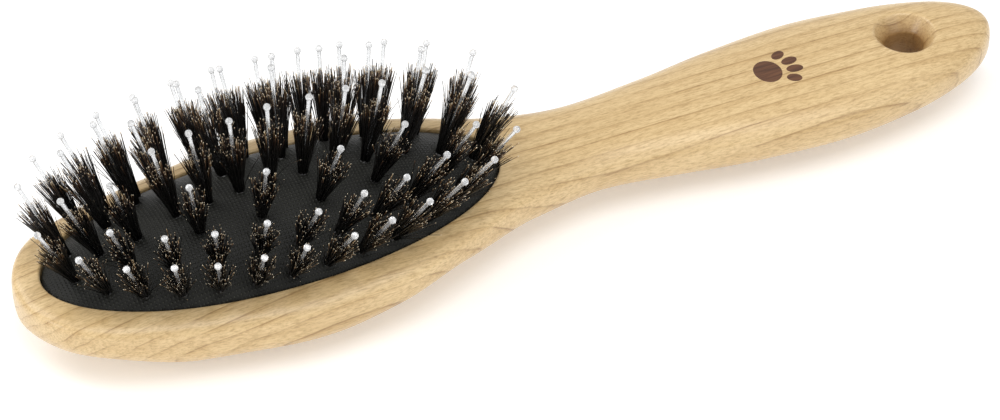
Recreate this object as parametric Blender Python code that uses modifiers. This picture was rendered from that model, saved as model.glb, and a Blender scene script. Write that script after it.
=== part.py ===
"""Oval bristle brush: a one-piece wooden head and handle, a domed rubber cushion that is
held in a groove round an oval pocket, and rings of bristle tufts, each with a ball-ended
pin standing in its middle.

Metres, +Z up.  The brush lies on its back: the belly rests on z = 0, the head points to -X,
the handle to +X and the bristles to +Z.
"""

import bmesh
import bpy
import numpy as np
from mathutils import Matrix, Vector

# Wooden body
BODY_LENGTH = 0.225
BODY_HEIGHT = 0.0175
HEAD_TIP_X = -BODY_LENGTH / 2
OUTLINE_AT = np.array([0.0, 0.04, 0.10, 0.17, 0.25, 0.33, 0.41, 0.49, 0.57, 0.65, 0.73, 0.81, 0.89,
                       0.95, 1.0])
HALF_WIDTHS = np.array([0.0, 0.0167, 0.0223, 0.0260, 0.0286, 0.0272, 0.0215, 0.0145, 0.0114, 0.0132,
                        0.0160, 0.0174, 0.0155, 0.0118, 0.0])
BELLY_AT = np.array([0.0, 0.06, 0.14, 0.26, 0.40, 0.55, 0.70, 0.85, 1.0])
BELLY_LEVELS = np.array([0.0075, 0.0040, -0.0004, -0.0004, 0.0046, 0.0044, 0.0030, 0.0032, 0.0058])
WIDEST_LEVEL = 0.56
HEAD_CROWN_POWER = 5.0
HANDLE_CROWN_POWER = 2.6
HEAD_BELLY_POWER = 2.0
HANDLE_BELLY_POWER = 2.5
SECTION_CHANGE_AT = (0.38, 0.54)
TIP_ROUNDING = 0.016
BODY_STATIONS = 30
BODY_SEGMENTS = 28
CUTTER_OVERRUN = 0.002

# Hanging hole near the end of the handle
HOLE_X = HEAD_TIP_X + 0.2047
HOLE_RADIUS = 0.0042
COUNTERSINK_RADIUS = 0.0068
COUNTERSINK_DEPTH = 0.0036
LOWER_COUNTERSINK_RADIUS = 0.0056
LOWER_COUNTERSINK_DEPTH = 0.0016
HOLE_SEGMENTS = 24

# Oval pocket in the head, with the groove that holds the cushion's lip
POCKET_X = HEAD_TIP_X + 0.0565
POCKET_HALF_LENGTH = 0.0508
POCKET_HALF_WIDTH = 0.0214
POCKET_FLOOR = 0.0075
GROOVE_DEPTH = 0.0016
GROOVE_BOTTOM = 0.0125
GROOVE_TOP = 0.0141
GAP = 0.0003
OVAL_SEGMENTS = 48

# Rubber cushion
RIM_LEVEL = 0.0166
DOME_HEIGHT = 0.0110
RUBBER_THICKNESS = 0.0016
LIP_THICKNESS = GROOVE_TOP - GROOVE_BOTTOM - 2 * GAP
CUSHION_HALF_LENGTH = POCKET_HALF_LENGTH - GAP
CUSHION_HALF_WIDTH = POCKET_HALF_WIDTH - GAP
DOME_RINGS = np.array([0.18, 0.36, 0.54, 0.70, 0.84, 0.94, 1.0])

# Rings of tufts: name, half length, half width, number of tufts, shift along the ring
TUFT_RINGS = (("outer", 0.0450, 0.0191, 27, 0.85), ("middle", 0.0382, 0.0150, 20, 0.025),
              ("inner", 0.0305, 0.0078, 10, 0.10))
CENTRE_TUFTS = 7
CENTRE_ROW_HALF_LENGTH = 0.0210
LEAN_ALONG = 0.55
LEAN_ALONG_POWER = 0.87
LEAN_ACROSS = 0.73
LEAN_ACROSS_POWER = 0.60
RING_SAMPLES = 721

# One tuft: root through the rubber, bristle bundle, and the pin with its ball
TUFT_SEGMENTS = 6
NECK_RADIUS = 0.00105
TUFT_HOLE_RADIUS = 0.00140
TUFT_HOLE_REACH = (-0.0035, 0.0025)
ANCHOR_RADIUS = 0.00150
ANCHOR_TOP = -0.0025
ANCHOR_BOTTOM = -0.0032
BUNDLE_FOOT = 0.0005
BUNDLE_HEIGHT = 0.0130
BUNDLE_TIP_RADIUS = 0.0025
BUNDLE_CROWN = 0.0004
PIN_RADIUS = 0.0004
PIN_LENGTH = 0.0202
BALL_RADIUS = 0.0008
BALL_FLAT_RADIUS = 0.00048
BALL_FLAT_DROP = 0.0002
JOINED_TIPS_FROM = 0.0095
JOINED_TIPS_TO = 0.0120
JOINED_TIPS_HALF_WIDTH = 0.0012
JOINED_TIPS_OVERHANG = 0.0020


def clear_scene():
    for item in list(bpy.data.objects):
        bpy.data.objects.remove(item, do_unlink=True)


def new_collection(name):
    collection = bpy.data.collections.new(name)
    bpy.context.scene.collection.children.link(collection)
    return collection


def principled(name, colour, roughness, metallic=0.0):
    material = bpy.data.materials.new(name)
    material.use_nodes = True
    shader = material.node_tree.nodes["Principled BSDF"]
    shader.inputs["Base Color"].default_value = (*colour, 1.0)
    shader.inputs["Roughness"].default_value = roughness
    shader.inputs["Metallic"].default_value = metallic
    return material


def add_object(name, mesh, collection, material=None):
    item = bpy.data.objects.new(name, mesh)
    collection.objects.link(item)
    if material is not None and not mesh.materials:
        mesh.materials.append(material)
    return item


def mark_as_cutter(item):
    item.hide_render = True
    item.display_type = "WIRE"
    return item


def shade(mesh, sharp_angle=0.7):
    mesh.shade_smooth()
    mesh.set_sharp_from_angle(angle=sharp_angle)
    return mesh


def smooth_curve(knots, values, at):
    """Monotone cubic through the knots: slopes are harmonic means, so it never overshoots."""
    step = np.diff(knots)
    rise = np.diff(values) / step
    product = rise[:-1] * rise[1:]
    total = np.where(product > 0, rise[:-1] + rise[1:], 1.0)
    inner = np.where(product > 0, 2 * product / total, 0.0)
    first = ((2 * step[0] + step[1]) * rise[0] - step[0] * rise[1]) / (step[0] + step[1])
    last = ((2 * step[-1] + step[-2]) * rise[-1] - step[-1] * rise[-2]) / (step[-1] + step[-2])
    slope = np.concatenate([[first], inner, [last]])
    k = np.clip(np.searchsorted(knots, at, side="right") - 1, 0, len(step) - 1)
    t = (at - knots[k]) / step[k]
    return (values[k] * (1 + 2 * t) * (1 - t) ** 2 + values[k + 1] * t ** 2 * (3 - 2 * t)
            + step[k] * slope[k] * t * (1 - t) ** 2 - step[k] * slope[k + 1] * t ** 2 * (1 - t))


def loft(name, rings, first_pole, last_pole):
    """One closed skin over rings of equal point counts, closed by a fan to a pole at each end."""
    skin = bmesh.new()
    rows = [[skin.verts.new(point) for point in ring] for ring in rings]
    count = len(rows[0])
    for row, following in zip(rows, rows[1:]):
        for i in range(count):
            j = (i + 1) % count
            skin.faces.new((row[i], row[j], following[j], following[i]))
    start = skin.verts.new(first_pole)
    end = skin.verts.new(last_pole)
    for i in range(count):
        j = (i + 1) % count
        skin.faces.new((start, rows[0][j], rows[0][i]))
        skin.faces.new((end, rows[-1][i], rows[-1][j]))
    bmesh.ops.recalc_face_normals(skin, faces=skin.faces)
    mesh = bpy.data.meshes.new(name)
    skin.to_mesh(mesh)
    skin.free()
    return mesh


def turned(name, profile, segments):
    """Mesh of a (radius, height) profile spun round Z, listed from the top down."""
    line = bpy.data.meshes.new(name + "_profile")
    line.from_pydata([(r, 0.0, z) for r, z in profile], [(i, i + 1) for i in range(len(profile) - 1)], [])
    spun = bpy.data.objects.new(name + "_spun", line)
    bpy.context.scene.collection.objects.link(spun)
    screw = spun.modifiers.new("spin", "SCREW")
    screw.steps = segments
    screw.render_steps = segments
    screw.use_merge_vertices = True
    screw.merge_threshold = 0.00001
    bpy.context.view_layer.update()
    evaluated = spun.evaluated_get(bpy.context.evaluated_depsgraph_get())
    mesh = bpy.data.meshes.new_from_object(evaluated)
    mesh.name = name
    bpy.data.objects.remove(spun, do_unlink=True)
    bpy.data.meshes.remove(line)
    return mesh


def add_boolean(item, cutter, operation="DIFFERENCE"):
    cut = item.modifiers.new(cutter.name, "BOOLEAN")
    cut.object = cutter
    cut.operation = operation
    cut.solver = "EXACT"


def superellipse(angles, upper_power, lower_power):
    """Unit section: across is a signed power of the cosine, level one of the sine."""
    cosine = np.cos(angles)
    sine = np.sin(angles)
    power = np.where(sine > 0, upper_power, lower_power)
    across = np.sign(cosine) * np.abs(cosine) ** (2 / power)
    level = np.sign(sine) * np.abs(sine) ** (2 / power)
    return across, level


def body_section(share):
    """Cross-section of the wood at a share of its length, as a ring of points."""
    width = np.sqrt(smooth_curve(OUTLINE_AT, HALF_WIDTHS ** 2, share))
    belly = smooth_curve(BELLY_AT, BELLY_LEVELS, share)
    middle = belly + (BODY_HEIGHT - belly) * WIDEST_LEVEL
    start, end = SECTION_CHANGE_AT
    change = np.clip((share - start) / (end - start), 0, 1)
    change = change * change * (3 - 2 * change)
    crown_power = HEAD_CROWN_POWER + (HANDLE_CROWN_POWER - HEAD_CROWN_POWER) * change
    belly_power = HEAD_BELLY_POWER + (HANDLE_BELLY_POWER - HEAD_BELLY_POWER) * change
    angles = np.linspace(0, 2 * np.pi, BODY_SEGMENTS, endpoint=False)
    across, level = superellipse(angles, crown_power, belly_power)
    fullness = np.sqrt(1 - (1 - min(1.0, width / TIP_ROUNDING)) ** 2)
    height = np.where(level > 0, BODY_HEIGHT - middle, middle - belly) * fullness * level
    x = np.full(BODY_SEGMENTS, HEAD_TIP_X + share * BODY_LENGTH)
    return np.column_stack([x, width * across, np.maximum(middle + height, 0.0)])


def body_tip(share):
    """Centre of the wood's rounded end."""
    belly = smooth_curve(BELLY_AT, BELLY_LEVELS, share)
    return (HEAD_TIP_X + share * BODY_LENGTH, 0.0, belly + (BODY_HEIGHT - belly) * WIDEST_LEVEL)


def oval(offset, level):
    """Ring round the pocket's ellipse, moved outwards by a constant offset."""
    angles = np.linspace(0, 2 * np.pi, OVAL_SEGMENTS, endpoint=False)
    x = POCKET_HALF_LENGTH * np.cos(angles)
    y = POCKET_HALF_WIDTH * np.sin(angles)
    outward = np.column_stack([x / POCKET_HALF_LENGTH ** 2, y / POCKET_HALF_WIDTH ** 2])
    outward /= np.linalg.norm(outward, axis=1)[:, None]
    return np.column_stack([POCKET_X + x + offset * outward[:, 0], y + offset * outward[:, 1],
                            np.full(OVAL_SEGMENTS, level)])


def dome_point(x, y):
    """Point on the cushion's outer skin, whose height falls with the square of the oval radius."""
    spread = (x / CUSHION_HALF_LENGTH) ** 2 + (y / CUSHION_HALF_WIDTH) ** 2
    return np.stack([POCKET_X + x, y, RIM_LEVEL + DOME_HEIGHT * (1 - spread)], axis=-1)


def dome_normal(x, y):
    normal = np.stack([2 * DOME_HEIGHT * x / CUSHION_HALF_LENGTH ** 2,
                       2 * DOME_HEIGHT * y / CUSHION_HALF_WIDTH ** 2, np.ones_like(x)], axis=-1)
    return normal / np.linalg.norm(normal, axis=-1, keepdims=True)


def dome_ring(share, depth):
    """Ring of the dome at a share of its size, moved below the skin by depth along the normal."""
    angles = np.linspace(0, 2 * np.pi, OVAL_SEGMENTS, endpoint=False)
    x = share * CUSHION_HALF_LENGTH * np.cos(angles)
    y = share * CUSHION_HALF_WIDTH * np.sin(angles)
    return dome_point(x, y) - depth * dome_normal(x, y)


def ring_positions(half_length, half_width, count, shift):
    """Places equally spaced along an ellipse by arc length."""
    angles = np.linspace(0, 2 * np.pi, RING_SAMPLES)
    x = half_length * np.cos(angles)
    y = half_width * np.sin(angles)
    travelled = np.concatenate([[0.0], np.cumsum(np.hypot(np.diff(x), np.diff(y)))])
    wanted = (np.arange(count) + shift) / count * travelled[-1]
    return list(zip(np.interp(wanted, travelled, x), np.interp(wanted, travelled, y)))


def centre_positions():
    along = np.linspace(-CENTRE_ROW_HALF_LENGTH, CENTRE_ROW_HALF_LENGTH, CENTRE_TUFTS)
    return [(x, 0.0) for x in along]


def signed_power(share, power):
    return np.sign(share) * np.abs(share) ** power


def tuft_placement(x, y):
    """Matrix that stands a tuft on the skin, leaning outwards more towards the rim."""
    foot = Vector(dome_point(np.float64(x), np.float64(y)))
    along = LEAN_ALONG * signed_power(x / CUSHION_HALF_LENGTH, LEAN_ALONG_POWER)
    across = LEAN_ACROSS * signed_power(y / CUSHION_HALF_WIDTH, LEAN_ACROSS_POWER)
    direction = Vector((along, across, 1.0)).normalized()
    turn = Vector((0.0, 0.0, 1.0)).rotation_difference(direction)
    return Matrix.Translation(foot) @ turn.to_matrix().to_4x4()


def tuft_mesh(name, material):
    """Anchor, neck, flared bundle, pin and ball as one turned solid with its skin point at 0."""
    profile = ((0.0, PIN_LENGTH), (BALL_FLAT_RADIUS, PIN_LENGTH - BALL_FLAT_DROP),
               (BALL_RADIUS, PIN_LENGTH - BALL_RADIUS), (PIN_RADIUS, PIN_LENGTH - 2 * BALL_RADIUS),
               (PIN_RADIUS, BUNDLE_HEIGHT + BUNDLE_CROWN), (BUNDLE_TIP_RADIUS, BUNDLE_HEIGHT),
               (NECK_RADIUS, BUNDLE_FOOT), (NECK_RADIUS, ANCHOR_TOP),
               (ANCHOR_RADIUS, ANCHOR_TOP), (ANCHOR_RADIUS, ANCHOR_BOTTOM), (0.0, ANCHOR_BOTTOM))
    mesh = turned(name, profile, TUFT_SEGMENTS)
    mesh.materials.append(material)
    return shade(mesh)


def joined_copies(name, source, placements):
    """Copies of one mesh at several placements, as separate bodies of a single mesh."""
    copies = bmesh.new()
    for placement in placements:
        single = source.copy()
        single.transform(placement)
        copies.from_mesh(single)
        bpy.data.meshes.remove(single)
    mesh = bpy.data.meshes.new(name)
    copies.to_mesh(mesh)
    copies.free()
    return mesh


def make_wooden_body(parts, cutters):
    shares = 0.5 - 0.5 * np.cos(np.linspace(0, np.pi, BODY_STATIONS + 2)[1:-1])
    sections = [body_section(share) for share in shares]
    mesh = loft("wooden_body", sections, body_tip(0.0), body_tip(1.0))
    wood = principled("honey_wood", (0.68, 0.46, 0.23), 0.42)
    body = add_object("wooden_body", mesh, parts, wood)
    pocket = add_object("pocket_cutter", pocket_mesh(), cutters)
    add_boolean(body, mark_as_cutter(pocket))
    hole = add_object("hanging_hole_cutter", hanging_hole_mesh(), cutters)
    hole.location = (HOLE_X, 0.0, 0.0)
    add_boolean(body, mark_as_cutter(hole))
    shade(mesh)


def pocket_mesh():
    """Oval well with a groove round its wall."""
    above = BODY_HEIGHT + CUTTER_OVERRUN
    levels = ((0.0, POCKET_FLOOR), (0.0, GROOVE_BOTTOM), (GROOVE_DEPTH, GROOVE_BOTTOM),
              (GROOVE_DEPTH, GROOVE_TOP), (0.0, GROOVE_TOP), (0.0, above))
    rings = [oval(offset, level) for offset, level in levels]
    return loft("pocket_cutter", rings, (POCKET_X, 0.0, POCKET_FLOOR), (POCKET_X, 0.0, above))


def hanging_hole_mesh():
    """Through bore with a wide countersink on top and a small one below."""
    belly = float(smooth_curve(BELLY_AT, BELLY_LEVELS, (HOLE_X - HEAD_TIP_X) / BODY_LENGTH))
    slope = (COUNTERSINK_RADIUS - HOLE_RADIUS) / COUNTERSINK_DEPTH
    lower_slope = (LOWER_COUNTERSINK_RADIUS - HOLE_RADIUS) / LOWER_COUNTERSINK_DEPTH
    top = BODY_HEIGHT + CUTTER_OVERRUN
    bottom = belly - CUTTER_OVERRUN
    profile = ((0.0, top), (COUNTERSINK_RADIUS + slope * CUTTER_OVERRUN, top),
               (HOLE_RADIUS, BODY_HEIGHT - COUNTERSINK_DEPTH),
               (HOLE_RADIUS, belly + LOWER_COUNTERSINK_DEPTH),
               (LOWER_COUNTERSINK_RADIUS + lower_slope * CUTTER_OVERRUN, bottom), (0.0, bottom))
    return turned("hanging_hole_cutter", profile, HOLE_SEGMENTS)


def make_rubber_cushion(parts, cutters, placements):
    """Domed shell with a lip that sits in the groove, and one hole for each tuft."""
    lip_bottom = GROOVE_BOTTOM + GAP
    lip_top = lip_bottom + LIP_THICKNESS
    lip_edge = GROOVE_DEPTH - GAP
    inner_wall = -GAP - RUBBER_THICKNESS
    skin = [dome_ring(share, 0.0) for share in DOME_RINGS]
    lip = [oval(-GAP, lip_top), oval(lip_edge, lip_top), oval(lip_edge, lip_bottom),
           oval(inner_wall, lip_bottom)]
    lining = [dome_ring(share, RUBBER_THICKNESS) for share in DOME_RINGS[::-1]]
    crown = (POCKET_X, 0.0, RIM_LEVEL + DOME_HEIGHT)
    ceiling = (POCKET_X, 0.0, RIM_LEVEL + DOME_HEIGHT - RUBBER_THICKNESS)
    mesh = loft("rubber_cushion", skin + lip + lining, crown, ceiling)
    rubber = principled("black_rubber", (0.027, 0.028, 0.028), 0.75)
    cushion = add_object("rubber_cushion", mesh, parts, rubber)
    lower, upper = TUFT_HOLE_REACH
    punch_profile = ((0.0, upper), (TUFT_HOLE_RADIUS, upper), (TUFT_HOLE_RADIUS, lower), (0.0, lower))
    punch = turned("tuft_hole_punch", punch_profile, TUFT_SEGMENTS)
    punches_mesh = joined_copies("tuft_hole_cutters", punch, placements)
    bpy.data.meshes.remove(punch)
    punches = add_object("tuft_hole_cutters", punches_mesh, cutters)
    add_boolean(cushion, mark_as_cutter(punches))
    shade(mesh)


def add_slide_empty(name, parts):
    """Empty on the press axis, through the middle of the cushion, that carries one ring."""
    slide = bpy.data.objects.new(name, None)
    slide.location = (POCKET_X, 0.0, RIM_LEVEL)
    parts.objects.link(slide)
    return slide


def attach(item, slide, placement):
    item.parent = slide
    item.matrix_local = Matrix.Translation(-slide.location) @ placement


def make_tuft_ring(ring_name, places, mesh, parts):
    slide = add_slide_empty(ring_name + "_ring_slide", parts)
    for number, (x, y) in enumerate(places, start=1):
        tuft = add_object(f"{ring_name}_tuft_{number:02d}", mesh, parts)
        attach(tuft, slide, tuft_placement(x, y))


def make_centre_tufts(mesh, material, parts, cutters):
    """Middle row, whose bristle tips run into each other and so form one solid."""
    slide = add_slide_empty("centre_row_slide", parts)
    bar = bmesh.new()
    bmesh.ops.create_cube(bar, size=1.0)
    bar_mesh = bpy.data.meshes.new("centre_tufts")
    bar.to_mesh(bar_mesh)
    bar.free()
    bar_length = 2 * (CENTRE_ROW_HALF_LENGTH + JOINED_TIPS_OVERHANG)
    bar_height = JOINED_TIPS_TO - JOINED_TIPS_FROM
    bar_mesh.transform(Matrix.Diagonal((bar_length, 2 * JOINED_TIPS_HALF_WIDTH, bar_height, 1.0)))
    row = add_object("centre_tufts", bar_mesh, parts, material)
    bar_level = RIM_LEVEL + DOME_HEIGHT + (JOINED_TIPS_FROM + JOINED_TIPS_TO) / 2
    attach(row, slide, Matrix.Translation((POCKET_X, 0.0, bar_level)))
    placements = [tuft_placement(x, y) for x, y in centre_positions()]
    singles_mesh = joined_copies("centre_single_tufts", mesh, placements)
    singles = add_object("centre_single_tufts", singles_mesh, cutters)
    add_boolean(row, mark_as_cutter(singles), "UNION")


def build():
    clear_scene()
    parts = new_collection("bristle_brush")
    cutters = new_collection("cutters")
    ring_places = [(name, ring_positions(half_length, half_width, count, shift))
                   for name, half_length, half_width, count, shift in TUFT_RINGS]
    every_place = [place for _, places in ring_places for place in places] + centre_positions()
    make_wooden_body(parts, cutters)
    make_rubber_cushion(parts, cutters, [tuft_placement(x, y) for x, y in every_place])
    bristle = principled("dark_bristle", (0.030, 0.018, 0.012), 0.55)
    tuft = tuft_mesh("tuft", bristle)
    for name, places in ring_places:
        make_tuft_ring(name, places, tuft, parts)
    make_centre_tufts(tuft, bristle, parts, cutters)


build()
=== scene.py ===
"""Looks of an oval bristle brush: lacquered wood with growth rings, a knurled rubber cushion, and
rings of ragged bristle tufts, each with a clear pin that ends in a milky ball.

Metres, in the CAD model's frame: the head points to -X, the handle to +X, the bristles to +Z.
"""

import math

import bmesh
import bpy
import numpy as np
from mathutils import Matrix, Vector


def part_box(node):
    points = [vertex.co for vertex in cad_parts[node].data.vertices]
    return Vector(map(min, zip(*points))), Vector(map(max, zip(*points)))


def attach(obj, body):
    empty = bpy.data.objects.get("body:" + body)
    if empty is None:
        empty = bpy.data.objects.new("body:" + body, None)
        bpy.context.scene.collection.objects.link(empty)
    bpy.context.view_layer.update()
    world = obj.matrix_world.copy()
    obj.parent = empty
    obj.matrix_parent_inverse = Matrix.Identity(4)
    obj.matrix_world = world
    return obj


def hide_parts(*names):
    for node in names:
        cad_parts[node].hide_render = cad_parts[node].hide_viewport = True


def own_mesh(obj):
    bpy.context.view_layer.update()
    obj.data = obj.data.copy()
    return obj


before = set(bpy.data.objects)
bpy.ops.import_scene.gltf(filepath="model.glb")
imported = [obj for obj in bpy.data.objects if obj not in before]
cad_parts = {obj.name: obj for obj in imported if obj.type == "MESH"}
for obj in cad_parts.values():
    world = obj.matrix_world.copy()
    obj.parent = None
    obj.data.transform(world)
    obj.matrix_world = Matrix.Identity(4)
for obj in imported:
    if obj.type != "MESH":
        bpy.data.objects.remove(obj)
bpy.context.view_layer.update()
WOOD_LOW, WOOD_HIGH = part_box("wooden_body")

# Wooden body: outline, belly and crown, as the CAD has them
HEAD_TIP_X = WOOD_LOW.x
BODY_LENGTH = WOOD_HIGH.x - WOOD_LOW.x
BODY_HEIGHT = 0.0175
OUTLINE_AT = np.array([0.0, 0.04, 0.10, 0.17, 0.25, 0.33, 0.41, 0.49, 0.57, 0.65, 0.73, 0.81, 0.89,
                       0.95, 1.0])
HALF_WIDTHS = np.array([0.0, 0.0167, 0.0223, 0.0260, 0.0286, 0.0272, 0.0215, 0.0145, 0.0114, 0.0132,
                        0.0160, 0.0174, 0.0155, 0.0118, 0.0])
BELLY_AT = np.array([0.0, 0.06, 0.14, 0.26, 0.40, 0.55, 0.70, 0.85, 1.0])
BELLY_LEVELS = np.array([0.0075, 0.0040, -0.0004, -0.0004, 0.0046, 0.0044, 0.0030, 0.0032, 0.0058])
WIDEST_LEVEL = 0.56
HEAD_CROWN_POWER = 5.0
HANDLE_CROWN_POWER = 2.6
HEAD_BELLY_POWER = 2.0
HANDLE_BELLY_POWER = 2.5
SECTION_CHANGE_AT = (0.38, 0.54)
TIP_ROUNDING = 0.016

# Grid of the wooden body's skin, and the shares of its length where the patches meet
STATIONS = 240
ACROSS = 56
RING_ROWS = 34
HEAD_ENDS_AT = 0.518
HANDLE_END_STARTS_AT = 0.835

# Hanging hole
HOLE_X = HEAD_TIP_X + 0.2047
HOLE_RADIUS = 0.0042
COUNTERSINK_RADIUS = 0.0068
COUNTERSINK_DEPTH = 0.0036
LOWER_COUNTERSINK_RADIUS = 0.0056
LOWER_COUNTERSINK_DEPTH = 0.0016
LOWER_EASING = 0.0003
HOLE_EASING = 0.0011

# Pocket and rubber cushion
POCKET_X = HEAD_TIP_X + 0.0565
POCKET_HALF_LENGTH = 0.0508
POCKET_HALF_WIDTH = 0.0214
POCKET_FLOOR = 0.0075
POCKET_EASING = 0.0006
GROOVE_DEPTH = 0.0016
GROOVE_BOTTOM = 0.0125
GROOVE_TOP = 0.0141
GAP = 0.0003
RIM_LEVEL = 0.0166
DOME_HEIGHT = 0.0110
RUBBER_THICKNESS = 0.0016
CUSHION_HALF_LENGTH = POCKET_HALF_LENGTH - GAP
CUSHION_HALF_WIDTH = POCKET_HALF_WIDTH - GAP
EDGE_ROLL = 0.0004
EDGE_ROLL_STARTS_AT = 0.985
DIMPLE_DEPTH = 0.00035
DIMPLE_RADIUS = 0.0013
ROUND_STEPS = 288

# Tufts: body, piece name, half length and half width of the ring, number of tufts, shift along it
TUFT_RINGS = (("outer_ring", "outer", 0.0450, 0.0191, 27, 0.85),
              ("middle_ring", "middle", 0.0382, 0.0150, 20, 0.025),
              ("inner_ring", "inner", 0.0305, 0.0078, 10, 0.10))
CENTRE_TUFTS = 7
CENTRE_ROW_HALF_LENGTH = 0.0210

# How much the tufts lean outwards, and how they stand in the rubber
LEAN_ALONG = 0.55
LEAN_ALONG_POWER = 0.87
LEAN_ACROSS = 0.73
LEAN_ACROSS_POWER = 0.60
ROOT_DEPTH = 0.0030
FOOT_RADIUS = 0.00105
ANCHOR_RADIUS = 1.4 * FOOT_RADIUS
ANCHOR_THICKNESS = 0.0005
SUNK_BRISTLE = 0.3 * ROOT_DEPTH

# Bristles: tubes of a few sides, with their steps along the length and the tone at each step
BRISTLES_PER_TUFT = 125
BRISTLE_RADIUS = 0.000105
BRISTLE_SIDES = 3
BRISTLE_STEPS = np.array([0.0, 0.3, 0.6, 0.8, 0.92, 0.97, 1.0])
BRISTLE_TONES = np.array([0.0, 0.0, 0.10, 0.42, 0.74, 0.85, 1.0])
BRISTLE_TAPER = 0.35
SHORTEST_BRISTLE = 0.0100
USUAL_BRISTLE = 0.0138
LONGEST_BRISTLE = 0.0160
BUNDLE_RADIUS = 0.85 * FOOT_RADIUS
TIP_SPREAD = 0.0022
TIP_SCATTER = 0.00045
FLARE_POWER = 1.2
BEND_SCATTER = 0.00028
STRAY_SHARE = 0.04
STRAY_BEND = 5
SHORTEST_STRAY = 0.6
DARK_SHARE_POWER = 1.7
PALENESS = 0.95
PALENESS_LIMIT = 0.9
CUT_TIP_SHARE = 0.6
CUT_TIP_TONE = 0.85

# Nylon pins
PIN_LENGTH = 0.0202
PIN_RADIUS = 0.00042
PIN_START = -0.001
PIN_SWAY = 0.00025
BALL_RADIUS = 0.00078
BALL_ROWS = 9
PIN_SIDES = 12

# Paw mark: x and y from the mark's place, half length, half width and turn of the pad and the toes
MARK_X = HEAD_TIP_X + 0.762 * BODY_LENGTH
PAW_PADS = ((0.0, 0.0, 0.0031, 0.0037, 0.0),
            (0.0044, -0.0041, 0.0017, 0.0012, -0.5),
            (0.0058, -0.0014, 0.0019, 0.0012, -0.15),
            (0.0058, 0.0014, 0.0019, 0.0012, 0.15),
            (0.0044, 0.0041, 0.0017, 0.0012, 0.5))
PAD_RINGS = np.array([0.0, 0.3, 0.6, 0.85, 0.97, 1.0, 0.0])
PAD_LEVELS = np.array([0.00005, 0.00005, 0.00005, 0.00005, 0.00004, -0.00005, -0.0003])
PAD_SIDES = 40

# Colour of the wood, and its growth rings: spacing, and how they lie in the body
WOOD_COLOUR = (0.735, 0.542, 0.282)
RING_SPACING = 0.0029
RING_ACROSS = 0.8
RING_DEPTH = 0.42
RING_TWIST = -3.4
RING_SWEEP = 0.8
RING_WARP = 0.0034

# Knurl of the rubber
KNURL_PITCH = 0.0011

# Studio: lights as name, place, aim, width and height, power and colour
FLOOR_HALF_SIZE = 3.0
WORLD_STRENGTH = 0.56
LIGHTS = (("key", (-0.75, 0.75, 1.1), (-0.02, 0.0, 0.01), (0.9, 0.9), 7.5, (1.0, 0.99, 0.97)),
          ("top", (0.05, -0.45, 1.5), (0.0, 0.0, 0.01), (1.2, 0.9), 9.0, (1, 1, 1)),
          ("fill", (0.6, -1.1, 0.9), (0.0, 0.0, 0.01), (1.2, 0.8), 3.0, (1, 1, 1)),
          ("side", (-1.1, -0.15, 0.5), (-0.05, 0.0, 0.01), (0.5, 0.4), 2.5, (1, 1, 1)))
CAMERA_PLACE = (-0.3218, -0.7034, 0.6763)
CAMERA_TURN = (48.8, 0.0, -24.3)
CAMERA_LENS = 173.2

rng = np.random.default_rng(26)


# ---------------------------------------------------------------- meshes

def add_piece(name, mesh, body, material_slot, *materials):
    """Object for a finished mesh, riding on a CAD body."""
    for material in materials:
        mesh.materials.append(material)
    piece = bpy.data.objects.new(name, mesh)
    bpy.context.scene.collection.objects.link(piece)
    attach(piece, body)
    return piece


def surface(name, points, quads, triangles=None):
    """Mesh from an array of points, an array of quads and an array of triangles."""
    triangles = np.zeros((0, 3), int) if triangles is None else triangles
    corners = np.concatenate([quads.ravel(), triangles.ravel()]).astype(np.int32)
    sizes = np.concatenate([np.full(len(quads), 4), np.full(len(triangles), 3)])
    starts = np.concatenate([[0], np.cumsum(sizes)[:-1]]).astype(np.int32)
    mesh = bpy.data.meshes.new(name)
    mesh.vertices.add(len(points))
    mesh.vertices.foreach_set("co", points.astype(np.float32).ravel())
    mesh.loops.add(len(corners))
    mesh.loops.foreach_set("vertex_index", corners)
    mesh.polygons.add(len(sizes))
    mesh.polygons.foreach_set("loop_start", starts)
    mesh.update(calc_edges=True)
    mesh.validate()
    return mesh


def grid_quads(rows, columns, closed=False, first=0):
    """Quads of a grid of points, row by row; a closed grid joins its last column to its first."""
    steps = columns if closed else columns - 1
    i, j = np.meshgrid(np.arange(rows - 1), np.arange(steps), indexing="ij")
    k = (j + 1) % columns
    return first + np.stack([i * columns + j, i * columns + k, (i + 1) * columns + k,
                             (i + 1) * columns + j], axis=-1).reshape(-1, 4)


def welded(mesh, distance=1e-6):
    """Merges the points that patches share, and turns all faces outwards."""
    work = bmesh.new()
    work.from_mesh(mesh)
    bmesh.ops.remove_doubles(work, verts=work.verts, dist=distance)
    bmesh.ops.recalc_face_normals(work, faces=work.faces)
    work.to_mesh(mesh)
    work.free()
    return mesh


def shade(mesh, sharp_angle):
    """Smooth shading, with sharp edges past an angle."""
    mesh.shade_smooth()
    mesh.set_sharp_from_angle(angle=sharp_angle)
    return mesh


# ---------------------------------------------------------------- wooden body

def smooth_curve(knots, values, at):
    """Monotone cubic through the knots: slopes are harmonic means, so it never overshoots."""
    step = np.diff(knots)
    rise = np.diff(values) / step
    product = rise[:-1] * rise[1:]
    total = np.where(product > 0, rise[:-1] + rise[1:], 1.0)
    inner = np.where(product > 0, 2 * product / total, 0.0)
    first = ((2 * step[0] + step[1]) * rise[0] - step[0] * rise[1]) / (step[0] + step[1])
    last = ((2 * step[-1] + step[-2]) * rise[-1] - step[-1] * rise[-2]) / (step[-1] + step[-2])
    slope = np.concatenate([[first], inner, [last]])
    k = np.clip(np.searchsorted(knots, at, side="right") - 1, 0, len(step) - 1)
    t = (at - knots[k]) / step[k]
    return (values[k] * (1 + 2 * t) * (1 - t) ** 2 + values[k + 1] * t ** 2 * (3 - 2 * t)
            + step[k] * slope[k] * t * (1 - t) ** 2 - step[k] * slope[k + 1] * t ** 2 * (1 - t))


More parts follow.
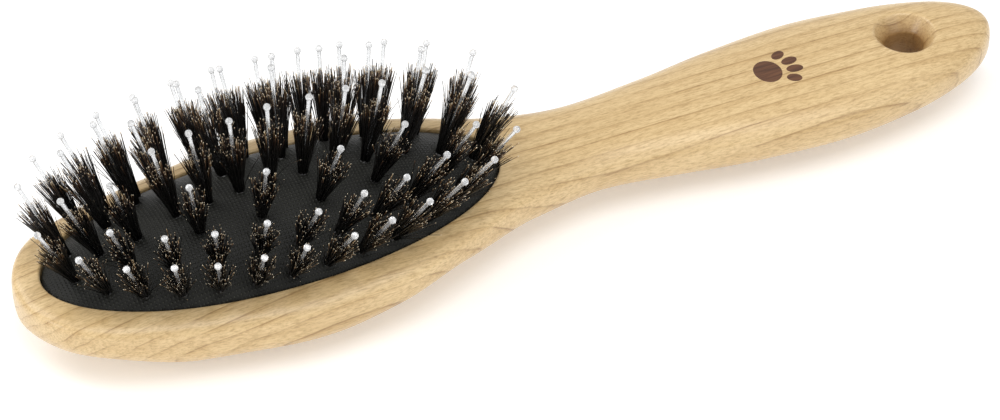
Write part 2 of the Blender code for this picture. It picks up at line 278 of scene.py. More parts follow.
def wood_half_width(x):
    """Half width at x: the smooth curve through the squares of the outline's half widths."""
    share = np.clip((x - HEAD_TIP_X) / BODY_LENGTH, 0, 1)
    return np.sqrt(np.maximum(smooth_curve(OUTLINE_AT, HALF_WIDTHS ** 2, share), 0.0))


def wood_levels(x):
    """Lowest level, level of the widest line, and fullness: it rises round a quarter circle from 0
    at the ends to 1 where the half width reaches the rounding."""
    share = np.clip((x - HEAD_TIP_X) / BODY_LENGTH, 0, 1)
    lowest = smooth_curve(BELLY_AT, BELLY_LEVELS, share)
    middle = lowest + (BODY_HEIGHT - lowest) * WIDEST_LEVEL
    fullness = np.sqrt(1 - (1 - np.minimum(1.0, wood_half_width(x) / TIP_ROUNDING)) ** 2)
    return lowest, middle, fullness


def section_powers(x):
    """Powers of the crown's and the belly's superellipse, blended from head to handle."""
    share = np.clip((x - HEAD_TIP_X) / BODY_LENGTH, 0, 1)
    start, end = SECTION_CHANGE_AT
    change = np.clip((share - start) / (end - start), 0, 1)
    change = change * change * (3 - 2 * change)
    return (HEAD_CROWN_POWER + (HANDLE_CROWN_POWER - HEAD_CROWN_POWER) * change,
            HEAD_BELLY_POWER + (HANDLE_BELLY_POWER - HEAD_BELLY_POWER) * change)


def section_level(x, y, power):
    """Level in a unit superellipse, (1 - |y / half width|^p)^(1/p)."""
    across = np.minimum(np.abs(y) / np.maximum(wood_half_width(x), 1e-9), 1.0)
    return (1 - across ** power) ** (1 / power)


def crown(x, y):
    """Height of the wood's upper face: widest level + rise x fullness x superellipse level."""
    _, middle, fullness = wood_levels(x)
    return middle + (BODY_HEIGHT - middle) * fullness * section_level(x, y, section_powers(x)[0])


def belly(x, y):
    """Height of the wood's lower face, as the crown's but downwards, and flat on the table where it
    would pass below it."""
    lowest, middle, fullness = wood_levels(x)
    level = section_level(x, y, section_powers(x)[1])
    return np.maximum(middle - (middle - lowest) * fullness * level, 0.0)


def across_shares(power):
    """Shares of the half width from -1 to 1, t / (|t|^p + (1 - |t|)^p)^(1/p), evenly spread round
    a superellipse of that power."""
    t = np.linspace(-1, 1, ACROSS + 1)
    power = np.asarray(power)[..., None]
    return t / (np.abs(t) ** power + (1 - np.abs(t)) ** power) ** (1 / power)


def edge_spread(rows, power, reach):
    """Shares from 0 to 1 that crowd towards 0 as 1 - c(t) does, with c the superellipse's share."""
    t = np.linspace(0, reach, rows)
    c = (1 - t) / ((1 - t) ** power + t ** power) ** (1 / power)
    return (1 - c) / (1 - c[-1])


def oval(angles, offset):
    """Plan points of the pocket's ellipse, moved outwards by offset along its normal."""
    x = POCKET_HALF_LENGTH * np.cos(angles)
    y = POCKET_HALF_WIDTH * np.sin(angles)
    nx, ny = x / POCKET_HALF_LENGTH ** 2, y / POCKET_HALF_WIDTH ** 2
    length = np.hypot(nx, ny)
    return POCKET_X + x + offset * nx / length, y + offset * ny / length


def ring_patch(outer_x, outer_y, inner_x, inner_y, spread, height):
    """Surface between two matching plan curves: straight lines in plan, lifted by height(x, y)."""
    x = outer_x + (inner_x - outer_x) * spread[:, None]
    y = outer_y + (inner_y - outer_y) * spread[:, None]
    return np.stack([x, y, height(x, y)], axis=-1)


def pocket_rings(angles):
    """Rings down the pocket: an eased rim, the wall with its groove, and the floor."""
    turn = np.linspace(0, np.pi / 2, 7)
    rim_x, rim_y = oval(angles, POCKET_EASING)
    rim = crown(rim_x, rim_y)
    eased = [(POCKET_EASING * (1 - np.sin(a)), rim - POCKET_EASING * (1 - np.cos(a))) for a in turn]
    levels = [(0.0, GROOVE_TOP), (GROOVE_DEPTH, GROOVE_TOP), (GROOVE_DEPTH, GROOVE_BOTTOM),
              (0.0, GROOVE_BOTTOM), (0.0, POCKET_FLOOR)]
    rows = [np.stack([*oval(angles, offset), np.broadcast_to(level, angles.shape)], axis=-1)
            for offset, level in eased + levels]
    centre = np.array([POCKET_X, 0.0, POCKET_FLOOR])
    floor = [centre + (rows[-1] - centre) * share for share in (0.66, 0.33, 0.0)]
    return np.array(rows + floor)


def hole_profile():
    """(radius, share of the depth) down the hole: eased rim, cone, bore, cone, eased rim."""
    lowest = float(wood_levels(np.array([HOLE_X]))[0][0])
    depth = BODY_HEIGHT - lowest
    half_turn = math.atan2(COUNTERSINK_DEPTH, COUNTERSINK_RADIUS - HOLE_RADIUS)
    turn = np.linspace(0, half_turn, 8)
    rim = COUNTERSINK_RADIUS + HOLE_EASING * math.tan(half_turn / 2)
    upper = [(rim - HOLE_EASING * math.sin(a), HOLE_EASING * (1 - math.cos(a))) for a in turn]
    throat = HOLE_EASING * math.sin(np.pi / 2 - half_turn)
    middle = [(HOLE_RADIUS + 0.3 * throat, COUNTERSINK_DEPTH - 0.5 * throat),
              (HOLE_RADIUS + 0.08 * throat, COUNTERSINK_DEPTH),
              (HOLE_RADIUS, COUNTERSINK_DEPTH + 0.6 * throat),
              (HOLE_RADIUS, depth - LOWER_COUNTERSINK_DEPTH)]
    lower = [(LOWER_COUNTERSINK_RADIUS - LOWER_EASING, depth - LOWER_EASING),
             (LOWER_COUNTERSINK_RADIUS, depth)]
    profile = np.array(upper + middle + lower)
    return profile[:, 0], profile[:, 1] / depth


def wooden_body_mesh():
    """Closed skin of patches that share their borders: the head's upper face is a ring between the
    outline and the pocket, the handle's end a ring round the hole, and the rest lofts of sections.
    """
    share = 0.5 - 0.5 * np.cos(np.linspace(0, np.pi, STATIONS + 1))
    x = HEAD_TIP_X + BODY_LENGTH * share
    width = wood_half_width(x)
    width[[0, -1]] = 0.0
    head = int(np.searchsorted(share, HEAD_ENDS_AT))
    end = int(np.searchsorted(share, HANDLE_END_STARTS_AT))
    crown_power, belly_power = section_powers(x)
    upper_y = width[:, None] * across_shares(crown_power)
    lower_y = width[:, None] * across_shares(belly_power)
    wide_x = np.repeat(x[:, None], ACROSS + 1, axis=1)

    patches = []
    head_x = np.concatenate([x[:head], wide_x[head], x[head - 1:0:-1]])
    head_y = np.concatenate([-width[:head], upper_y[head], width[head - 1:0:-1]])
    angles = np.arctan2(head_y / POCKET_HALF_WIDTH, (head_x - POCKET_X) / POCKET_HALF_LENGTH)
    spread = edge_spread(RING_ROWS, HEAD_CROWN_POWER, reach=0.6)
    patches.append((ring_patch(head_x, head_y, *oval(angles, POCKET_EASING), spread, crown), True))
    patches.append((pocket_rings(angles), True))

    span = slice(head, end + 1)
    upper = np.stack([wide_x[span], upper_y[span], crown(wide_x[span], upper_y[span])], axis=-1)
    patches.append((upper, False))
    span = slice(0, end + 1)
    lower = np.stack([wide_x[span], lower_y[span], belly(wide_x[span], lower_y[span])], axis=-1)
    patches.append((lower, False))

    radii, depths = hole_profile()
    spread = edge_spread(RING_ROWS, power=4.0, reach=0.62)
    rims = []
    turns = []
    for section, radius, height in ((upper_y, radii[0], crown), (lower_y, radii[-1], belly)):
        end_x = np.concatenate([wide_x[end], x[end + 1:], x[-2:end:-1]])
        end_y = np.concatenate([section[end, ::-1], -width[end + 1:], width[-2:end:-1]])
        turn = np.unwrap(np.arctan2(end_y, end_x - HOLE_X))
        rim_x, rim_y = HOLE_X + radius * np.cos(turn), radius * np.sin(turn)
        patches.append((ring_patch(end_x, end_y, rim_x, rim_y, spread, height), True))
        rims.append(height(rim_x, rim_y))
        turns.append(turn)
    turn = turns[0] + (turns[1] - turns[0]) * depths[:, None]
    bore = np.stack([HOLE_X + radii[:, None] * np.cos(turn), radii[:, None] * np.sin(turn),
                     rims[0] + (rims[1] - rims[0]) * depths[:, None]], axis=-1)
    patches.append((bore, True))

    points, quads = [], []
    first = 0
    for patch, closed in patches:
        points.append(patch.reshape(-1, 3))
        quads.append(grid_quads(*patch.shape[:2], closed, first))
        first += len(points[-1])
    mesh = surface("wood", np.concatenate(points), np.concatenate(quads))
    return shade(welded(mesh), sharp_angle=0.6)


# ---------------------------------------------------------------- rubber cushion

def dome_height(x, y):
    """Height over the rim of the cushion's skin: it falls with the square of the oval radius."""
    spread = (x / CUSHION_HALF_LENGTH) ** 2 + (y / CUSHION_HALF_WIDTH) ** 2
    return DOME_HEIGHT * (1 - spread)


def dimples(x, y, places):
    """Depth of the rubber's hollows round the tufts: a sum of bells, depth exp(-(r / radius)^2)."""
    away = (x[..., None] - places[:, 0]) ** 2 + (y[..., None] - places[:, 1]) ** 2
    return DIMPLE_DEPTH * np.exp(-away / DIMPLE_RADIUS ** 2).sum(axis=-1)


def dome_mesh(places):
    """Closed shell on a polar grid: the skin at rim + dome height - dimples, which rolls down at its
    edge with the square of the share past the roll's start, and the lining at one thickness less,
    which meets the skin's level at the edge by (1 - share^6)."""
    angles = np.linspace(0, 2 * np.pi, ROUND_STEPS, endpoint=False)
    edge_level = RIM_LEVEL - EDGE_ROLL
    skin_share = np.concatenate([[1e-4], np.linspace(0.012, EDGE_ROLL_STARTS_AT, 96),
                                 [0.9925, 0.9975, 1.0]])[:, None]
    x = skin_share * CUSHION_HALF_LENGTH * np.cos(angles)
    y = skin_share * CUSHION_HALF_WIDTH * np.sin(angles)
    past = np.clip((skin_share - EDGE_ROLL_STARTS_AT) / (1 - EDGE_ROLL_STARTS_AT), 0, 1)
    height = RIM_LEVEL + dome_height(x, y) - dimples(x, y, places) - EDGE_ROLL * past ** 2
    skin = np.stack([POCKET_X + x, y, height], axis=-1)
    lining_share = np.array([1.0, 0.95, 0.8, 0.6, 0.4, 0.2, 1e-4])[:, None]
    lx = lining_share * (CUSHION_HALF_LENGTH - RUBBER_THICKNESS) * np.cos(angles)
    ly = lining_share * (CUSHION_HALF_WIDTH - RUBBER_THICKNESS) * np.sin(angles)
    lining_height = edge_level + (dome_height(lx, ly) - RUBBER_THICKNESS) * (1 - lining_share ** 6)
    lining = np.stack([POCKET_X + lx, ly, np.maximum(lining_height, edge_level)], axis=-1)
    rows = np.concatenate([skin, lining])
    rows[0] = (POCKET_X, 0.0, rows[0, :, 2].mean())
    rows[-1] = (POCKET_X, 0.0, rows[-1, :, 2].mean())
    mesh = surface("rubber_dome", rows.reshape(-1, 3), grid_quads(*rows.shape[:2], True))
    return shade(welded(mesh), sharp_angle=1.2)


def lip_mesh():
    """Ring that holds the dome in the wood, an upright neck and a lip in the groove: its section is
    carried round the pocket's oval, each corner at its own offset along the oval's normal."""
    angles = np.linspace(0, 2 * np.pi, ROUND_STEPS, endpoint=False)
    lip_bottom = GROOVE_BOTTOM + GAP
    lip_top = GROOVE_TOP - GAP
    edge = GROOVE_DEPTH - GAP
    inner = -GAP - RUBBER_THICKNESS
    top = RIM_LEVEL - EDGE_ROLL
    section = ((inner, top), (-GAP, top), (-GAP, lip_top), (edge, lip_top), (edge, lip_bottom),
               (inner, lip_bottom), (inner, top))
    rows = np.array([np.stack([*oval(angles, offset), np.full(ROUND_STEPS, level)], axis=-1)
                     for offset, level in section])
    mesh = surface("rubber_lip", rows.reshape(-1, 3), grid_quads(*rows.shape[:2], True))
    return shade(welded(mesh), sharp_angle=0.6)


# ---------------------------------------------------------------- tufts

def ring_positions(half_length, half_width, count, shift):
    """Places equally spaced along an ellipse by arc length."""
    angles = np.linspace(0, 2 * np.pi, 721)
    x = half_length * np.cos(angles)
    y = half_width * np.sin(angles)
    travelled = np.concatenate([[0.0], np.cumsum(np.hypot(np.diff(x), np.diff(y)))])
    wanted = (np.arange(count) + shift) / count * travelled[-1]
    return np.stack([np.interp(wanted, travelled, x), np.interp(wanted, travelled, y)], axis=-1)


def centre_positions():
    """Places of the centre row, equally spaced along the middle."""
    along = np.linspace(-CENTRE_ROW_HALF_LENGTH, CENTRE_ROW_HALF_LENGTH, CENTRE_TUFTS)
    return np.stack([along, np.zeros(CENTRE_TUFTS)], axis=-1)


def tuft_axes(x, y):
    """Foot on the skin, and three axes: two across and one along the tuft, whose slopes outwards
    are LEAN times a power of the share of the cushion's half length and half width."""
    foot = np.array([POCKET_X + x, y, RIM_LEVEL + dome_height(x, y)])
    share_x, share_y = x / CUSHION_HALF_LENGTH, y / CUSHION_HALF_WIDTH
    slope_x = LEAN_ALONG * np.sign(share_x) * abs(share_x) ** LEAN_ALONG_POWER
    slope_y = LEAN_ACROSS * np.sign(share_y) * abs(share_y) ** LEAN_ACROSS_POWER
    along = np.array([slope_x, slope_y, 1.0])
    along /= np.linalg.norm(along)
    across = np.cross([0.0, 1.0, 0.0], along)
    across /= np.linalg.norm(across)
    return foot, across, np.cross(along, across), along


def in_place(local, axes):
    """Points given across, across and along a tuft, put in the model's frame."""
    foot, across, over, along = axes
    return foot + local[..., :1] * across + local[..., 1:2] * over + local[..., 2:] * along


def bristle_lines():
    """Centre lines of one tuft's bristles: each leaves the foot at a place r in its disc, and at
    share t of its height h stands at r + spread t^1.2 + bend t^2, so that the bundle flares."""
    count = BRISTLES_PER_TUFT
    radius = np.sqrt(rng.random(count))
    angle = rng.random(count) * 2 * np.pi
    disc = np.stack([radius * np.cos(angle), radius * np.sin(angle)], axis=-1)
    spread = disc * TIP_SPREAD + rng.normal(0, TIP_SCATTER, (count, 2))
    bend = rng.normal(0, BEND_SCATTER, (count, 2))
    stray = rng.random(count) < STRAY_SHARE
    bend[stray] *= STRAY_BEND
    height = rng.triangular(SHORTEST_BRISTLE, USUAL_BRISTLE, LONGEST_BRISTLE, count)
    height[stray] *= rng.uniform(SHORTEST_STRAY, 1.0, stray.sum())
    t = BRISTLE_STEPS[None, :, None]
    flat = disc[:, None] * BUNDLE_RADIUS + spread[:, None] * t ** FLARE_POWER + bend[:, None] * t ** 2
    up = -SUNK_BRISTLE + (height[:, None, None] + SUNK_BRISTLE) * t
    return np.concatenate([flat, up], axis=-1)


def bristle_tubes(lines):
    """Points, quads and end triangles of tapering tubes round the centre lines: at each step a ring
    of radius thickness (1 - taper t^2), in the plane across the tuft."""
    count, steps = lines.shape[:2]
    thickness = (BRISTLE_RADIUS * rng.uniform(0.75, 1.25, (count, 1))
                 * (1 - BRISTLE_TAPER * BRISTLE_STEPS ** 2))
    sides = np.arange(BRISTLE_SIDES) / BRISTLE_SIDES
    turn = (sides + rng.random((count, 1, 1))) * 2 * np.pi
    ring = np.stack([np.cos(turn), np.sin(turn), np.zeros_like(turn)], axis=-1)
    points = lines[:, :, None] + ring * thickness[:, :, None, None]
    per_bristle = steps * BRISTLE_SIDES
    starts = np.arange(count)[:, None, None] * per_bristle
    quads = (starts + grid_quads(steps, BRISTLE_SIDES, True)[None]).reshape(-1, 4)
    last = per_bristle - BRISTLE_SIDES
    caps = np.array([[2, 1, 0], [last, last + 1, last + 2]])
    return points.reshape(-1, 3), quads, (starts + caps[None]).reshape(-1, 3)


def bristle_tones(count):
    """Tone at each point of the tubes: the tone of its step x the bristle's own paleness, and a
    pale cut face on a share of the tips."""
    paleness = np.minimum(rng.random((count, 1)) ** DARK_SHARE_POWER * PALENESS, PALENESS_LIMIT)
    cut = (BRISTLE_STEPS == 1.0) * CUT_TIP_TONE * (rng.random((count, 1)) < CUT_TIP_SHARE)
    tone = np.clip(BRISTLE_TONES * paleness + cut, 0, 1)
    return np.repeat(tone[:, :, None], BRISTLE_SIDES, axis=2).ravel()


def bristle_tuft_mesh(name, axes):
    """Bundle of bristles over a short root plug; 'tone' runs from dark root to pale tip."""
    lines = bristle_lines()
    points, quads, triangles = bristle_tubes(lines)
    tone = bristle_tones(len(lines))
    plug, plug_quads, plug_caps = root_plug(len(points))
    mesh = surface(name, in_place(np.concatenate([points, plug]), axes),
                   np.concatenate([quads, plug_quads]), np.concatenate([triangles, plug_caps]))
    tone = np.concatenate([tone, np.zeros(len(plug))])
    mesh.attributes.new("tone", "FLOAT", "POINT").data.foreach_set("value", tone.astype(np.float32))
    mesh.shade_smooth()
    return mesh


def root_plug(first):
    """Round plug that holds the bristles' roots in the rubber: a wide anchor and a narrower neck,
    closed by a fan at each end."""
    turn = np.arange(PIN_SIDES) / PIN_SIDES * 2 * np.pi
    anchor_top = -ROOT_DEPTH + ANCHOR_THICKNESS
    profile = ((ANCHOR_RADIUS, -ROOT_DEPTH), (ANCHOR_RADIUS, anchor_top),
               (FOOT_RADIUS, anchor_top + 0.0001), (FOOT_RADIUS, -0.0001))
    rows = [np.stack([r * np.cos(turn), r * np.sin(turn), np.full(PIN_SIDES, z)], axis=-1)
            for r, z in profile]
    ends = np.array([[0.0, 0.0, -ROOT_DEPTH], [0.0, 0.0, 0.0]])
    points = np.concatenate([*rows, ends])
    j = np.arange(PIN_SIDES)
    k = (j + 1) % PIN_SIDES
    top = (len(rows) - 1) * PIN_SIDES
    low_end, high_end = len(points) - 2, len(points) - 1
    bottom_fan = np.stack([k, j, np.full(PIN_SIDES, low_end)], axis=-1)
    top_fan = np.stack([top + j, top + k, np.full(PIN_SIDES, high_end)], axis=-1)
    return (points, grid_quads(len(rows), PIN_SIDES, True, first),
            first + np.concatenate([bottom_fan, top_fan]))


def pin_mesh(name, axes, materials):
    """Nylon pin, a profile turned round the tuft's axis: a straight shaft, then a ball's half circle
    from the neck to the top.  It sways aside with the square of the height."""
    turn = np.arange(PIN_SIDES) / PIN_SIDES * 2 * np.pi
    neck = math.asin(PIN_RADIUS / BALL_RADIUS)
    arc = np.linspace(np.pi - neck, 0, BALL_ROWS)
    centre = PIN_LENGTH - BALL_RADIUS
    shaft_radii = [1e-7, PIN_RADIUS, PIN_RADIUS]
    shaft_levels = [PIN_START, PIN_START, 0.6 * PIN_LENGTH]
    radii = np.concatenate([shaft_radii, BALL_RADIUS * np.sin(arc)])
    levels = np.concatenate([shaft_levels, centre + BALL_RADIUS * np.cos(arc)])
    tilt = rng.normal(0, PIN_SWAY, 2)
    sway = np.clip(levels / PIN_LENGTH, 0, 1)[:, None] ** 2 * tilt
    rows = np.stack([radii[:, None] * np.cos(turn) + sway[:, :1],
                     radii[:, None] * np.sin(turn) + sway[:, 1:],
                     np.repeat(levels[:, None], PIN_SIDES, axis=1)], axis=-1)
    mesh = surface(name, in_place(rows.reshape(-1, 3), axes), grid_quads(len(radii), PIN_SIDES, True))
    for material in materials:
        mesh.materials.append(material)
    row_of_face = np.repeat(np.arange(len(radii) - 1), PIN_SIDES)
    in_ball = row_of_face >= len(shaft_radii)
    mesh.polygons.foreach_set("material_index", in_ball.astype(np.int32))
    return shade(welded(mesh), sharp_angle=1.3)


# ---------------------------------------------------------------- mark on the handle

def paw_mark_mesh():
    """Plain paw print on the handle: one pad and four toes, each a thin lens of elliptical rings at
    the wood's crown plus a small level, with its rim and its underside sunk in the wood."""
    turn = np.linspace(0, 2 * np.pi, PAD_SIDES, endpoint=False)
    points, quads = [], []
    for number, (px, py, length, width, tilt) in enumerate(PAW_PADS):
        u = PAD_RINGS[:, None] * length * np.cos(turn)
        v = PAD_RINGS[:, None] * width * np.sin(turn)
        x = MARK_X + px + u * math.cos(tilt) - v * math.sin(tilt)
        y = py + u * math.sin(tilt) + v * math.cos(tilt)
        z = crown(x, y) + PAD_LEVELS[:, None]
        points.append(np.stack([x, y, z], axis=-1).reshape(-1, 3))
        quads.append(grid_quads(len(PAD_RINGS), PAD_SIDES, True, number * PAD_RINGS.size * PAD_SIDES))
    mesh = surface("paw_mark", np.concatenate(points), np.concatenate(quads)[:, ::-1])
    return shade(welded(mesh, 1e-7), sharp_angle=1.0)


# ---------------------------------------------------------------- materials

def new_material(name, roughness, **values):
    """Principled material with its even values set on the shader's own sockets."""
    material = bpy.data.materials.new(name)
    material.use_nodes = True
    shader = material.node_tree.nodes["Principled BSDF"]
    shader.inputs["Roughness"].default_value = roughness
    for socket, value in values.items():
        shader.inputs[socket.replace("_", " ")].default_value = value
    return material, material.node_tree, shader


def add_node(tree, kind, inputs=(), **settings):
    """Node of a kind with its settings, and its inputs set to values or linked to sockets."""
    made = tree.nodes.new("ShaderNode" + kind)
    for key, value in settings.items():
        setattr(made, key, value)
    for key, value in dict(inputs).items():
        if isinstance(value, bpy.types.NodeSocket):
            tree.links.new(value, made.inputs[key])
        else:
            made.inputs[key].default_value = value
    return made


def object_coordinates(tree, scale=(1, 1, 1)):
    """Object coordinates in metres, times a scale."""
    coordinates = add_node(tree, "TexCoord")
    mapping = add_node(tree, "Mapping", {"Vector": coordinates.outputs["Object"], "Scale": scale})
    return mapping.outputs["Vector"]


def noise(tree, scale, detail=2.0, roughness=0.5):
    """Noise whose scale, in features per metre, may differ along x, y and z."""
    return add_node(tree, "TexNoise", {"Vector": object_coordinates(tree, scale), "Scale": 1.0,
                                       "Detail": detail, "Roughness": roughness}).outputs["Fac"]


def math_node(tree, operation, first, second=0.0, clamp=False):
    return add_node(tree, "Math", {0: first, 1: second}, operation=operation, use_clamp=clamp).outputs[0]


def lifted(tree, value, gain, offset, clamp=False):
    """value x gain + offset."""
    return math_node(tree, "ADD", math_node(tree, "MULTIPLY", value, gain), offset, clamp)


def ramp(tree, factor, stops):
    """Colour ramp through (place, colour) stops."""
    made = add_node(tree, "ValToRGB", {"Fac": factor})
    elements = made.color_ramp.elements
    while len(elements) < len(stops):
        elements.new(0.5)
    for element, (place, colour) in zip(elements, stops):
        element.position = place
        element.color = (*colour, 1.0)
    return made.outputs["Color"]


def mixed(tree, mode, factor, first, second):
    """Mix of two colours, each a socket or a plain colour."""
    made = add_node(tree, "Mix", {"Factor": factor}, data_type="RGBA", blend_type=mode)
    for key, value in ((6, first), (7, second)):
        if isinstance(value, bpy.types.NodeSocket):
            tree.links.new(value, made.inputs[key])
        else:
            made.inputs[key].default_value = (*value, 1.0)
    return made.outputs[2]


def bumped(tree, shader, height, strength, distance):
    bump = add_node(tree, "Bump", {"Height": height, "Strength": strength, "Distance": distance})
    tree.links.new(bump.outputs["Normal"], shader.inputs["Normal"])


def ring_phase(tree, split):
    """Number of growth rings crossed, (across y + (z - top) (depth + twist x) + sweep min(x, 0)^2
    + warp noise) / spacing: nearly upright sheets along the handle, which bend across the head."""
    head_x = math_node(tree, "MINIMUM", split.outputs["X"], 0.0)
    swept = math_node(tree, "MULTIPLY", math_node(tree, "MULTIPLY", head_x, head_x), RING_SWEEP)
    across = math_node(tree, "MULTIPLY", split.outputs["Y"], RING_ACROSS)
    tilt = lifted(tree, split.outputs["X"], RING_TWIST, RING_DEPTH)
    below = math_node(tree, "SUBTRACT", split.outputs["Z"], BODY_HEIGHT)
    place = math_node(tree, "ADD", across, math_node(tree, "MULTIPLY", below, tilt))
    place = math_node(tree, "ADD", place, swept)
    place = math_node(tree, "ADD", place,
                      math_node(tree, "MULTIPLY", noise(tree, (5, 120, 120)), RING_WARP))
    return math_node(tree, "MULTIPLY", place, 1 / RING_SPACING)


def hole_painted_shade(tree, split):
    """Painted shade inside the hanging hole, partly the darker bare end grain: a brown tint by the
    distance from its axis.
    """
    x = math_node(tree, "SUBTRACT", split.outputs["X"], HOLE_X)
    x = math_node(tree, "MULTIPLY", x, x)
    y = math_node(tree, "MULTIPLY", split.outputs["Y"], split.outputs["Y"])
    away = math_node(tree, "SQRT", math_node(tree, "ADD", x, y))
    share = math_node(tree, "DIVIDE", away, COUNTERSINK_RADIUS)
    return ramp(tree, share, ((HOLE_RADIUS / COUNTERSINK_RADIUS, (0.50, 0.40, 0.30)),
                              (0.80, (0.78, 0.72, 0.64)),
                              (1.0, (1, 1, 1))))


def honey_wood():
    """Satin lacquer over pale wood.  Each growth ring ends in a thin darker line that fades in and
    out; pores, flecks and a slow drift of tint lie over them, and the flecks' bright bluish end is
    painted glint of the lacquer."""
    material, tree, shader = new_material("honey_wood", 0.38, Coat_Weight=0.35, Coat_Roughness=0.2)
    split = add_node(tree, "SeparateXYZ", {"Vector": object_coordinates(tree)})
    year = math_node(tree, "FRACT", ring_phase(tree, split))
    late_tint = ramp(tree, year, ((0.0, (0.56, 0.47, 0.36)),
                                  (0.05, (0.97, 0.96, 0.94)),
                                  (0.40, (1, 1, 1)),
                                  (0.72, (0.95, 0.93, 0.90)),
                                  (0.92, (0.84, 0.79, 0.71)),
                                  (1.0, (0.54, 0.45, 0.34))))
    fade = noise(tree, (30, 380, 380), roughness=0.6)
    presence = lifted(tree, fade, 3.0, -0.85, clamp=True)
    pores = noise(tree, (170, 2600, 2600), detail=3.0, roughness=0.7)
    pore_tint = ramp(tree, pores, ((0.32, (0.68, 0.60, 0.50)),
                                   (0.50, (1, 1, 1))))
    drift = noise(tree, (26, 240, 240), detail=4.0, roughness=0.6)
    drift_tint = ramp(tree, drift, ((0.30, (0.88, 0.84, 0.77)),
                                    (0.66, (1, 1, 1))))
    # flecks: the dark ones are the wood's own, the bright bluish ones are painted glints of the lacquer
    flecks = noise(tree, (520, 2500, 2500), detail=3.0, roughness=0.75)
    fleck_and_glint_tint = ramp(tree, flecks, ((0.34, (0.70, 0.64, 0.55)),
                                     (0.50, (0.97, 0.96, 0.95)),
                                     (0.68, (1.10, 1.12, 1.16))))
    colour = mixed(tree, "MULTIPLY", presence, WOOD_COLOUR, late_tint)
    for strength, tint in ((0.5, pore_tint), (0.9, drift_tint), (0.8, fleck_and_glint_tint)):
        colour = mixed(tree, "MULTIPLY", strength, colour, tint)
    # painted shade in the hanging hole and its countersink, darker towards the hole's axis
    colour = mixed(tree, "MULTIPLY", 1.0, colour, hole_painted_shade(tree, split))
    tree.links.new(colour, shader.inputs["Base Color"])
    tree.links.new(lifted(tree, drift, 0.16, 0.32), shader.inputs["Roughness"])
    relief = math_node(tree, "ADD", pores, flecks)
    bumped(tree, shader, relief, strength=0.14, distance=0.0001)
    return material


def black_rubber():
    """Matte black rubber with a knurl of small staggered studs, a little dust on them, painted
    highlights on the stud tops and painted shade between them.  Stud height is max(cos(u) cos(v), 0),
    with u and v along the two diagonals."""
    material, tree, shader = new_material("black_rubber", 0.52, Specular_IOR_Level=0.28)
    split = add_node(tree, "SeparateXYZ", {"Vector": object_coordinates(tree)})
    turns = 2 * math.pi / KNURL_PITCH * math.sqrt(0.5)
    waves = []
    for kind in ("ADD", "SUBTRACT"):
        diagonal = math_node(tree, kind, split.outputs["X"], split.outputs["Y"])
        waves.append(math_node(tree, "COSINE", math_node(tree, "MULTIPLY", diagonal, turns)))
    studs = math_node(tree, "MAXIMUM", math_node(tree, "MULTIPLY", *waves), 0.0)
    grain = noise(tree, (2600, 2600, 2600), detail=3.0, roughness=0.7)
    height = math_node(tree, "ADD", studs, math_node(tree, "MULTIPLY", grain, 0.5))
    dust = noise(tree, (90, 90, 90), detail=5.0, roughness=0.7)
    dusty = ramp(tree, dust, ((0.35, (0.009, 0.0092, 0.0075)),
                              (0.65, (0.021, 0.0212, 0.0175))))
    # painted highlight on the stud tops and painted shade in the gaps between the studs
    stud_highlight_and_shade = ramp(tree, studs, ((0.0, (0.75, 0.75, 0.75)),
                              (0.6, (1, 1, 1)),
                              (1.0, (2.6, 2.6, 2.5))))
    tree.links.new(mixed(tree, "MULTIPLY", 1.0, dusty, stud_highlight_and_shade), shader.inputs["Base Color"])
    tree.links.new(lifted(tree, dust, 0.25, 0.42), shader.inputs["Roughness"])
    bumped(tree, shader, height, strength=0.9, distance=0.00016)
    return material


def boar_bristle():
    """Glossy bristle that runs from black at the root to brown, and to pale gold at the cut tip."""
    material, tree, shader = new_material("boar_bristle", 0.28, Specular_IOR_Level=0.6)
    tone = add_node(tree, "Attribute", attribute_name="tone")
    colour = ramp(tree, tone.outputs["Fac"], ((0.0, (0.0095, 0.0088, 0.0080)),
                                              (0.25, (0.013, 0.0095, 0.0078)),
                                              (0.45, (0.060, 0.028, 0.014)),
                                              (0.62, (0.24, 0.135, 0.062)),
                                              (0.80, (0.62, 0.46, 0.26)),
                                              (1.0, (0.95, 0.86, 0.67))))
    mottle = ramp(tree, noise(tree, (900, 900, 900)), ((0.3, (0.7, 0.7, 0.7)),
                                                       (0.7, (1.2, 1.2, 1.2))))
    tree.links.new(mixed(tree, "MULTIPLY", 1.0, colour, mottle), shader.inputs["Base Color"])
    return material


def clear_nylon():
    """Nearly clear nylon shaft with a faint drawn haze."""
    material, tree, shader = new_material("clear_nylon", 0.15, IOR=1.45, Transmission_Weight=0.78,
                                          Base_Color=(0.97, 0.98, 0.99, 1.0))
    haze = noise(tree, (1500, 1500, 300))
    tree.links.new(lifted(tree, haze, 0.15, 0.08), shader.inputs["Roughness"])
    return material


def milky_ball():
    """Half-clear ball end, smooth, with a slight cloudiness."""
    material, tree, shader = new_material("milky_ball", 0.18, IOR=1.48, Transmission_Weight=0.58)
    colour = ramp(tree, noise(tree, (700, 700, 700)), ((0.3, (0.93, 0.94, 0.95)),
                                                       (0.7, (0.99, 0.99, 0.99))))
    tree.links.new(colour, shader.inputs["Base Color"])
    return material


def burnt_mark():
    """Brown scorch of a burnt mark, uneven as the wood's own hardness is."""
    material, tree, shader = new_material("burnt_mark", 0.55)
    grain = noise(tree, (150, 1500, 1500), detail=3.0)
    colour = ramp(tree, grain, ((0.3, (0.055, 0.020, 0.009)),
                                (0.75, (0.17, 0.070, 0.030))))
    tree.links.new(colour, shader.inputs["Base Color"])
    return material


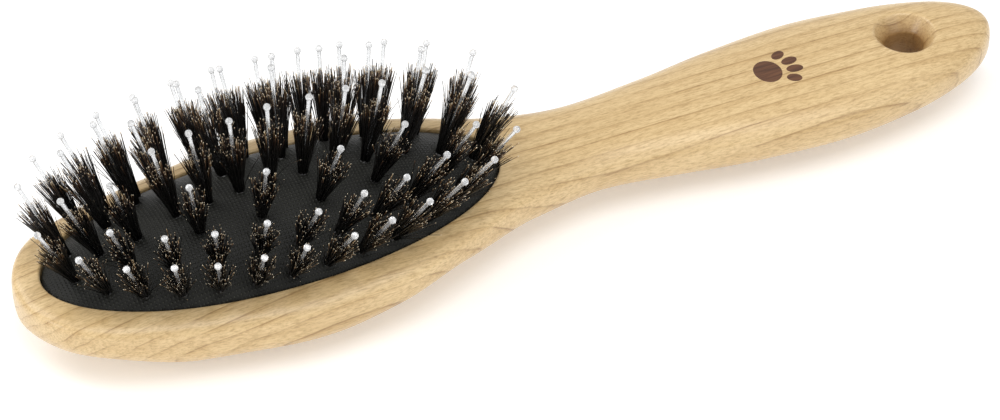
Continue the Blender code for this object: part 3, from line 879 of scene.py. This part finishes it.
def pale_floor():
    """White sweep, lit a little from below as a light table is."""
    material, tree, shader = new_material("pale_floor", 0.9, Emission_Color=(0.985, 0.993, 1, 1),
                                          Emission_Strength=0.24)
    colour = ramp(tree, noise(tree, (3, 3, 3)), ((0.0, (0.90, 0.90, 0.90)),
                                                 (1.0, (0.92, 0.92, 0.92))))
    tree.links.new(colour, shader.inputs["Base Color"])
    return material


# ---------------------------------------------------------------- the brush

def make_wood():
    piece = add_piece("wood", wooden_body_mesh(), "handle", "honey_wood", honey_wood())
    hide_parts("wooden_body")
    add_piece("paw_mark", paw_mark_mesh(), "handle", "honey_wood", burnt_mark())


def make_cushion(places):
    rubber = black_rubber()
    dome = add_piece("rubber_dome", dome_mesh(places), "handle", "black_rubber", rubber)
    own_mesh(dome)
    lip = add_piece("rubber_lip", lip_mesh(), "handle", "black_rubber", rubber)
    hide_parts("rubber_cushion")
    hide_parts("rubber_cushion")


def make_tuft(label, place, body, node, bristle, pin_materials):
    axes = tuft_axes(*place)
    tuft = add_piece(label + "_bristles", bristle_tuft_mesh(label + "_bristles", axes), body,
                     "dark_bristle", bristle)
    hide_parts(node)
    pin = add_piece(label + "_pin", pin_mesh(label + "_pin", axes, pin_materials), body, "clear_pin")
    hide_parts(node)


def make_tufts(rings):
    bristle = boar_bristle()
    pin_materials = (clear_nylon(), milky_ball())
    for body, name, places in rings:
        for number, place in enumerate(places, start=1):
            label = f"{name}_{number:02d}"
            node = "centre_tufts" if name == "centre" else f"{name}_tuft_{number:02d}"
            make_tuft(label, place, body, node, bristle, pin_materials)


# ---------------------------------------------------------------- floor, lights and camera

def add_area_light(name, location, target, size, power, colour):
    """Rectangular light at a place, turned so that it shines at its target."""
    light = bpy.data.lights.new(name, "AREA")
    light.shape = "RECTANGLE"
    light.size, light.size_y = size
    light.energy = power
    light.color = colour
    lamp = bpy.data.objects.new(name, light)
    lamp.location = location
    aim = np.array(target, float) - np.array(location, float)
    lamp.rotation_euler = (math.acos(-aim[2] / np.linalg.norm(aim)), 0.0, math.atan2(-aim[0], aim[1]))
    bpy.context.scene.collection.objects.link(lamp)


def make_floor():
    half = FLOOR_HALF_SIZE
    mesh = bpy.data.meshes.new("floor")
    mesh.from_pydata([(-half, -half, 0), (half, -half, 0), (half, half, 0), (-half, half, 0)], [],
                     [(0, 1, 2, 3)])
    mesh.materials.append(pale_floor())
    floor = bpy.data.objects.new("floor", mesh)
    bpy.context.scene.collection.objects.link(floor)


def make_lighting():
    world = bpy.data.worlds.new("studio")
    world.use_nodes = True
    background = world.node_tree.nodes["Background"]
    background.inputs["Color"].default_value = (1.0, 1.0, 1.0, 1.0)
    background.inputs["Strength"].default_value = WORLD_STRENGTH
    bpy.context.scene.world = world
    for light in LIGHTS:
        add_area_light(*light)
    bpy.context.scene.view_settings.view_transform = "Standard"


def make_camera():
    camera = bpy.data.cameras.new("camera")
    camera.lens = CAMERA_LENS
    camera.sensor_width = 36.0
    viewer = bpy.data.objects.new("camera", camera)
    viewer.location = CAMERA_PLACE
    viewer.rotation_euler = [math.radians(turn) for turn in CAMERA_TURN]
    bpy.context.scene.collection.objects.link(viewer)
    bpy.context.scene.camera = viewer


rings = [(body, name, ring_positions(half_length, half_width, count, shift))
         for body, name, half_length, half_width, count, shift in TUFT_RINGS]
rings.append(("centre_row", "centre", centre_positions()))
make_camera()
make_floor()
make_lighting()
make_wood()
make_cushion(np.concatenate([places for _, _, places in rings]))
make_tufts(rings)
